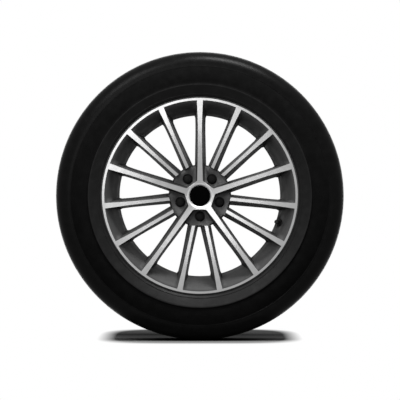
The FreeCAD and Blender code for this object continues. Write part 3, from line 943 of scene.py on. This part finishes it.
@dataclass
class WheelBolts:
    """Bolts with chamfered hexagon heads, cone seats and rolled threads."""

    count: int = 5
    circle_radius: float = 0.049
    first_angle: float = 54.0
    corners: int = 6
    corner_radius: float = 0.009815
    head: Point = (-0.0771, -0.0651)
    chamfer: float = 0.001
    collar_radius: float = 0.0105
    collar_edge: float = 0.0004
    seat: Point = (-0.0631, -0.0553)
    thread: Thread = Thread(0.006, 0.0053, 0.0015, 16)
    thread_start: float = -0.0505
    tip: float = -0.024
    tip_chamfer: float = 0.0012
    facets: int = 24

    def one_bolt(self) -> BMesh:
        """One bolt on the axle: a turned body with a six-sided head.

        Returns:
            The bolt.
        """
        (top, collar), (seat_start, seat_end) = self.head, self.seat
        rim, sunk, shank = self.corner_radius, collar + self.collar_edge, self.thread.crest
        flat = rim - 2 * self.chamfer
        head = [(0.0, top), (flat, top), (rim, top + self.chamfer), (rim, sunk), (0.0, sunk)]
        shape = turned(head, self.corners, closed=False)
        body = [(0.0, collar), (self.collar_radius - self.collar_edge, collar), (self.collar_radius, sunk)]
        body += [(self.collar_radius, seat_start), (shank, seat_end)]
        body += self.thread.outline(self.thread_start)
        body += [(shank, self.tip - self.tip_chamfer), (shank - self.tip_chamfer, self.tip), (0.0, self.tip)]
        return turned(body, self.facets, closed=False, onto=shape)

    def build(self) -> None:
        """Set the bolts out on their circle."""
        shape = self.one_bolt()
        bmesh.ops.translate(shape, verts=shape.verts, vec=(self.circle_radius, 0.0, 0.0))
        first = Matrix.Rotation(math.radians(self.first_angle), 3, -AXLE)
        bmesh.ops.rotate(shape, verts=shape.verts, cent=CENTRE, matrix=first)
        repeat(shape, self.count, -AXLE)
        bmesh.ops.recalc_face_normals(shape, faces=shape.faces)
        settle("wheel_bolts_threaded", shape, [BOLT_PAINTED_SHADE], ["wheel_bolts"])


@dataclass
class Valve:
    """Snap-in valve: moulded rubber body, threaded brass stem and ribbed cap.

    The pieces are turned round the axle from the rim's seat outwards, then set in the rim.
    """

    seat: Point = (0.206867, -0.056392)
    tilt: float = 52.0
    angle: float = -18.8
    head: Point = (0.0094, -0.005)
    head_bevel: float = 0.0025
    head_bulge: float = 0.0005
    seat_gap: float = 0.0001
    lip: float = 0.0004
    neck: Point = (0.00565, 0.0051)
    bulge: Point = (0.0074, 0.0071)
    rubber_top: Point = (0.0045, 0.0125)
    edge: float = 0.0003
    grooves: tuple[float, float] = (0.0087, 0.0103)
    groove_width: float = 0.0008
    groove_depth: float = 0.0003
    stem_radius: float = 0.0029
    stem_end: float = 0.0235
    stem_chamfer: float = 0.0005
    bore: Point = (0.002, 0.0005)
    low_bore: float = 0.0009
    thread: Thread = Thread(0.00385, 0.0035, 0.0008, 12)
    cap_bore: Point = (0.004, 0.0128)
    cap_radius: float = 0.0052
    cap_roof: float = 0.0244
    cap_top: float = 0.026
    cap_round: float = 0.0012
    cap_bulge: float = 0.0002
    grip: Point = (0.0142, 0.0232)
    grip_end: float = 0.0006
    flutes: int = 18
    flute_depth: float = 0.00045
    wire: float = 0.0004
    coil_radius: float = 0.00115
    coil_span: Point = (0.0008, 0.00885)
    coil_turns: int = 4
    coil_steps: int = 20
    coil_pressed: float = 0.82

    def in_rim(self) -> Matrix:
        """How a piece moves from the axle to the valve hole.

        Returns:
            The move.
        """
        lean = math.radians(self.tilt)
        out = Vector((-math.cos(lean), -math.sin(lean), 0.0))
        swing = AXLE.rotation_difference(out).to_matrix().to_4x4()
        seat = Matrix.Translation((*self.seat, 0.0))
        round_axle = Matrix.Rotation(math.radians(self.angle), 4, -AXLE)
        return round_axle @ seat @ swing

    def set_in_rim(self, shape: BMesh) -> None:
        """Move a piece's mesh from the axle to the valve hole."""
        bmesh.ops.transform(shape, matrix=self.in_rim(), verts=shape.verts)

    def taper(self, along: float) -> float:
        """Radius of the rubber's tapering end."""
        share = (along - self.bulge[1]) / (self.rubber_top[1] - self.bulge[1])
        return self.bulge[0] + (self.rubber_top[0] - self.bulge[0]) * share

    def rubber(self) -> None:
        """Rubber body: round head, neck, bulge and a grooved taper."""
        (rim, foot), (waist, shelf), (belly, belly_end) = self.head, self.neck, self.bulge
        (top_radius, top), lip, edge = self.rubber_top, self.lip, self.edge
        points = [(self.stem_radius, foot), (rim - self.head_bevel, foot)]
        points += bulged(points[-1], (rim, foot + self.head_bevel), -self.head_bulge, steps=4)
        points += [(rim, -self.seat_gap - lip), (rim - lip, -self.seat_gap), (waist, -self.seat_gap)]
        points += [self.neck, (belly - lip, shelf), (belly, shelf + lip), (belly, belly_end - lip)]
        points.append((self.taper(belly_end + lip), belly_end + lip))
        for start in self.grooves:
            end = start + self.groove_width
            floor = self.taper(start + self.groove_width / 2) - self.groove_depth
            points += [(self.taper(start), start), (floor, start + edge)]
            points += [(floor, end - edge), (self.taper(end), end)]
        points += [(top_radius, top - edge), (top_radius - edge, top), (self.stem_radius, top)]
        shape = turned(points, steps=40)
        self.set_in_rim(shape)
        settle("valve_body_moulded", shape, [VALVE_RUBBER], ["valve_rubber_body"])

    def stem(self) -> None:
        """Brass tube with a thread on its end."""
        foot, top, end = self.head[1], self.rubber_top[1], self.stem_end
        crest, chamfer = self.thread.crest, self.stem_chamfer
        points = [(self.low_bore, foot), (self.stem_radius, foot), (self.stem_radius, top), (crest, top)]
        points += self.thread.outline(top + chamfer)
        points += [(crest, end - chamfer), (self.thread.root, end)]
        points += [(self.bore[0], end), self.bore, (self.low_bore, self.bore[1])]
        shape = turned(points, steps=32)
        self.set_in_rim(shape)
        settle("valve_stem_threaded", shape, [BRASS], ["valve_stem_tube"])

    def cap(self) -> None:
        """Hollow cap with a fluted grip."""
        inner, mouth = self.cap_bore
        rim, edge, roof = self.cap_radius, self.edge, self.cap_roof
        low, high = self.grip
        stops = (mouth + edge, low - self.grip_end, low, (low + high) / 2, high, high + self.grip_end, roof)
        points = [(inner, mouth), (rim - edge, mouth)] + [(rim, stop) for stop in stops]
        points += bulged(points[-1], (rim - self.cap_round, self.cap_top), -self.cap_bulge, steps=4)
        outside = [(0.0, self.cap_top)] + points[::-1]
        shape = turned(outside + [(inner, roof), (0.0, roof)], steps=self.flutes * 4, closed=False)
        for corner in shape.verts:
            around = off_axle(corner.co)
            if around > rim - SLACK and low - SLACK < corner.co.y < high + SLACK:
                wave = 0.5 - 0.5 * math.cos(self.flutes * math.atan2(corner.co.z, corner.co.x))
                pull_to(corner, around - self.flute_depth * wave)
        self.set_in_rim(shape)
        settle("valve_cap_ribbed", shape, [VALVE_PLASTIC], ["valve_cap"], Body.DUST_CAP)

    def spring(self) -> None:
        """Coil spring under the pin's collar."""
        shape = bmesh.new()
        start, end = self.coil_span
        steps = self.coil_turns * self.coil_steps
        bmesh.ops.create_circle(shape, cap_ends=True, segments=10, radius=self.wire / 2)
        bmesh.ops.translate(shape, verts=shape.verts, vec=(self.coil_radius, start, 0.0))
        wound = bmesh.ops.spin(
            shape, geom=shape.verts[:] + shape.edges[:], cent=CENTRE, axis=AXLE,
            dvec=AXLE * (end - start) / steps, angle=math.tau * self.coil_turns, steps=steps)
        last = [part for part in wound["geom_last"] if isinstance(part, BMEdge)]
        bmesh.ops.contextual_create(shape, geom=last)
        bmesh.ops.recalc_face_normals(shape, faces=shape.faces)
        self.set_in_rim(shape)
        coil = settle("valve_spring_coil", shape, [SPRING_STEEL], ["valve_core_spring"])
        place = self.in_rim()
        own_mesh(coil)

    def build(self) -> None:
        """Build the rubber, the stem, the spring and the cap."""
        self.rubber()
        self.stem()
        self.spring()
        self.cap()


@dataclass
class BalanceWeights:
    """Row of stick-on weights with the rounded edges of pressed zinc."""

    edge: float = 0.0006
    flat_angle: float = 0.5
    sharp_angle: float = 40.0

    def build(self) -> None:
        """Copy the CAD weights and round their edges."""
        shape = cad_copy("balance_weights")
        bmesh.ops.dissolve_limit(
            shape, angle_limit=math.radians(self.flat_angle), verts=shape.verts, edges=shape.edges)
        limit = math.radians(self.sharp_angle)
        sharp = [edge for edge in shape.edges if edge.calc_face_angle(0.0) > limit]
        bmesh.ops.bevel(
            shape, geom=sharp, offset=self.edge, affect="EDGES", segments=2, profile=0.5, material=-1)
        settle("balance_weights_pressed", shape, [WEIGHT_ZINC], ["balance_weights"])


@dataclass
class Fittings:
    """The pieces that are carried over from the CAD model as they are."""

    finishes: dict[str, Finish] = field(default_factory=lambda: {
        "centre_cap": CAP_PLASTIC,
        "centre_cap_spring_ring": SPRING_STEEL,
        "valve_core_body": BRASS,
        "valve_core_pin": BRASS,
        "valve_core_seal": VALVE_RUBBER,
        "valve_cap_seal": VALVE_RUBBER,
        "balance_weight_tape": FOAM,
    })

    def dress(self) -> None:
        """Give each carried-over node its finish."""
        for node, finish in self.finishes.items():
            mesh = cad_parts[node].data
            mesh.materials.clear()
            mesh.materials.append(finish.material())
            LOG.info("%s: carried over in %s", node, finish.name)


@dataclass(frozen=True)
class SoftBox:
    """A rectangular lamp: where it hangs, what it looks at, its width and height, and its watts."""

    name: str
    place: Place
    aim: Place
    size: Point
    power: float

    def hang(self) -> None:
        """Add the lamp to the scene."""
        light = bpy.data.lights.new(self.name, "AREA")
        light.shape = "RECTANGLE"
        light.size, light.size_y = self.size
        light.energy = self.power
        lamp = bpy.data.objects.new(self.name, light)
        lamp.location = self.place
        lamp.rotation_euler = (Vector(self.aim) - Vector(self.place)).to_track_quat("-Z", "Y").to_euler()
        bpy.context.scene.collection.objects.link(lamp)


@dataclass
class Studio:
    """White room, soft lamps and a camera far out on the axle."""

    floor_height: float = -0.3449
    floor_size: float = 60.0
    # Grey floor colour inside the rounded box round the wheel, a pool of painted shade; outside it the floor
    # is white.
    shadow_pool_colour: Colour = grey(0.3)
    fade_place: Point = (0.0, 0.2)
    fade_half: Point = (0.223, 0.42)
    fade: Point = (0.85, 1.25)
    # Occlusion reach and range that paint shade into the floor where it meets the wheel, and the ramp along
    # the axle and its share that paint a shadow on the floor behind it.
    contact_reach: float = 0.8
    contact: Point = (0.02, 1.0)
    behind: Point = (0.08, 0.28)
    painted_shadow_share: float = 0.8
    ambient: float = 0.5
    lamps: tuple[SoftBox, ...] = (
        SoftBox("overhead", (0.5, -0.85, 2.45), (0.5, 0.0, 0.0), (1.0, 0.6), 95.0),
        SoftBox("upper_left", (-1.3, -1.9, 2.2), (0.0, 0.0, 0.0), (1.0, 1.0), 42.0),
        SoftBox("front_left", (-0.9, -4.6, 1.24), (0.0, 0.0, 0.0), (2.4, 2.4), 56.0),
    )
    camera_place: Place = (0.0003, -8.0, -0.0099)
    lens: float = 299.6
    sensor: float = 36.0
    sight: float = 200.0

    def white_share(self, tree: NodeTree) -> NodeSocket:
        """1 for rays that see the background: straight, mirrored or through glass.

        Args:
            tree: The node tree that needs it.

        Returns:
            The share.
        """
        path = tree.nodes.new("ShaderNodeLightPath")
        share = path.outputs["Is Camera Ray"]
        for name in ("Is Glossy Ray", "Is Transmission Ray"):
            either = tree.nodes.new("ShaderNodeMath")
            either.operation = "MAXIMUM"
            tree.links.new(share, either.inputs[0])
            tree.links.new(path.outputs[name], either.inputs[1])
            share = either.outputs[0]
        return share

    def room(self) -> None:
        """White backdrop that lights the object only softly."""
        world = bpy.data.worlds.new("white_room")
        bpy.context.scene.world = world
        world.use_nodes = True
        tree = world.node_tree
        tree.nodes.clear()
        soft = tree.nodes.new("ShaderNodeBackground")
        soft.inputs["Strength"].default_value = self.ambient
        white = tree.nodes.new("ShaderNodeBackground")
        for background in (soft, white):
            background.inputs["Color"].default_value = WHITE
        mix = tree.nodes.new("ShaderNodeMixShader")
        output = tree.nodes.new("ShaderNodeOutputWorld")
        sources = (self.white_share(tree), soft.outputs[0], white.outputs[0])
        for source, socket in zip(sources, mix.inputs):
            tree.links.new(source, socket)
        tree.links.new(mix.outputs[0], output.inputs[0])

    def far_share(self, graph: Graph) -> NodeSocket:
        """1 on the floor that is far from the wheel, 0 in a rounded box under and behind it.

        Args:
            graph: The floor's nodes.

        Returns:
            The share.
        """
        scale = tuple(1.0 / half for half in self.fade_half)
        shift = tuple(-place * size for place, size in zip(self.fade_place, scale))
        box = graph.add("ShaderNodeMapping")
        graph.feed(box, "Vector", graph.place)
        graph.feed(box, "Scale", (*scale, 0.0))
        graph.feed(box, "Location", (*shift, 0.0))
        distance = graph.length(box.outputs[0], box.outputs[0])
        return graph.span(distance, self.fade, UNIT)

    def floor_finish(self) -> Material:
        """White floor whose colour paints shade on top of the lamps' real shadow: a grey pool round the
        wheel, dark where it meets the wheel and behind it.

        Returns:
            The material.
        """
        graph = Graph("floor_painted_shadow")
        far = self.far_share(graph)
        # Painted contact shade: the floor colour goes to black where ambient occlusion is high.
        contact = graph.add("ShaderNodeAmbientOcclusion")
        graph.feed(contact, "Distance", self.contact_reach)
        open_sky = graph.span(contact.outputs["AO"], self.contact, UNIT)
        # Painted shadow: a ramp along the axle blends the floor colour towards black behind the wheel.
        behind = graph.span(graph.along(), self.behind, (0.0, self.painted_shadow_share))
        pale = graph.blend(behind, graph.blend(open_sky, BLACK, self.shadow_pool_colour), BLACK)
        graph.shade("Base Color", graph.blend(far, pale, BLACK))
        graph.shade("Roughness", 1.0)
        graph.shade("Specular IOR Level", 0.0)
        graph.shade("Emission Color", WHITE)
        lift = graph.maths("MULTIPLY", self.white_share(graph.tree), far)
        graph.shade("Emission Strength", lift)
        return graph.material

    def floor(self) -> None:
        """Pale floor that keeps the wheel's real shadow, with painted shade in its colour."""
        shape = bmesh.new()
        bmesh.ops.create_grid(shape, x_segments=2, y_segments=2, size=self.floor_size / 2)
        bmesh.ops.translate(shape, verts=shape.verts, vec=(0.0, 0.0, self.floor_height))
        mesh = bpy.data.meshes.new("floor")
        shape.to_mesh(mesh)
        shape.free()
        mesh.materials.append(self.floor_finish())
        floor = bpy.data.objects.new("floor", mesh)
        bpy.context.scene.collection.objects.link(floor)

    def camera(self) -> None:
        """Camera that looks straight along the axle."""
        lens = bpy.data.cameras.new("camera")
        lens.lens = self.lens
        lens.sensor_width = self.sensor
        lens.clip_end = self.sight
        camera = bpy.data.objects.new("camera", lens)
        camera.location = self.camera_place
        camera.rotation_euler = (math.pi / 2, 0.0, 0.0)
        bpy.context.scene.collection.objects.link(camera)
        bpy.context.scene.camera = camera

    def build(self) -> None:
        """Set up the room, the floor, the lamps and the camera."""
        bpy.context.scene.view_settings.view_transform = "Standard"
        self.room()
        self.floor()
        for lamp in self.lamps:
            lamp.hang()
        self.camera()


def main() -> None:
    """Build the pieces in order, then the studio."""
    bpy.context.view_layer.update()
    Tyre().build()
    AlloyWheel().build()
    WheelBolts().build()
    Valve().build()
    BalanceWeights().build()
    Fittings().dress()
    Studio().build()


if __name__ == "__main__":
    main()
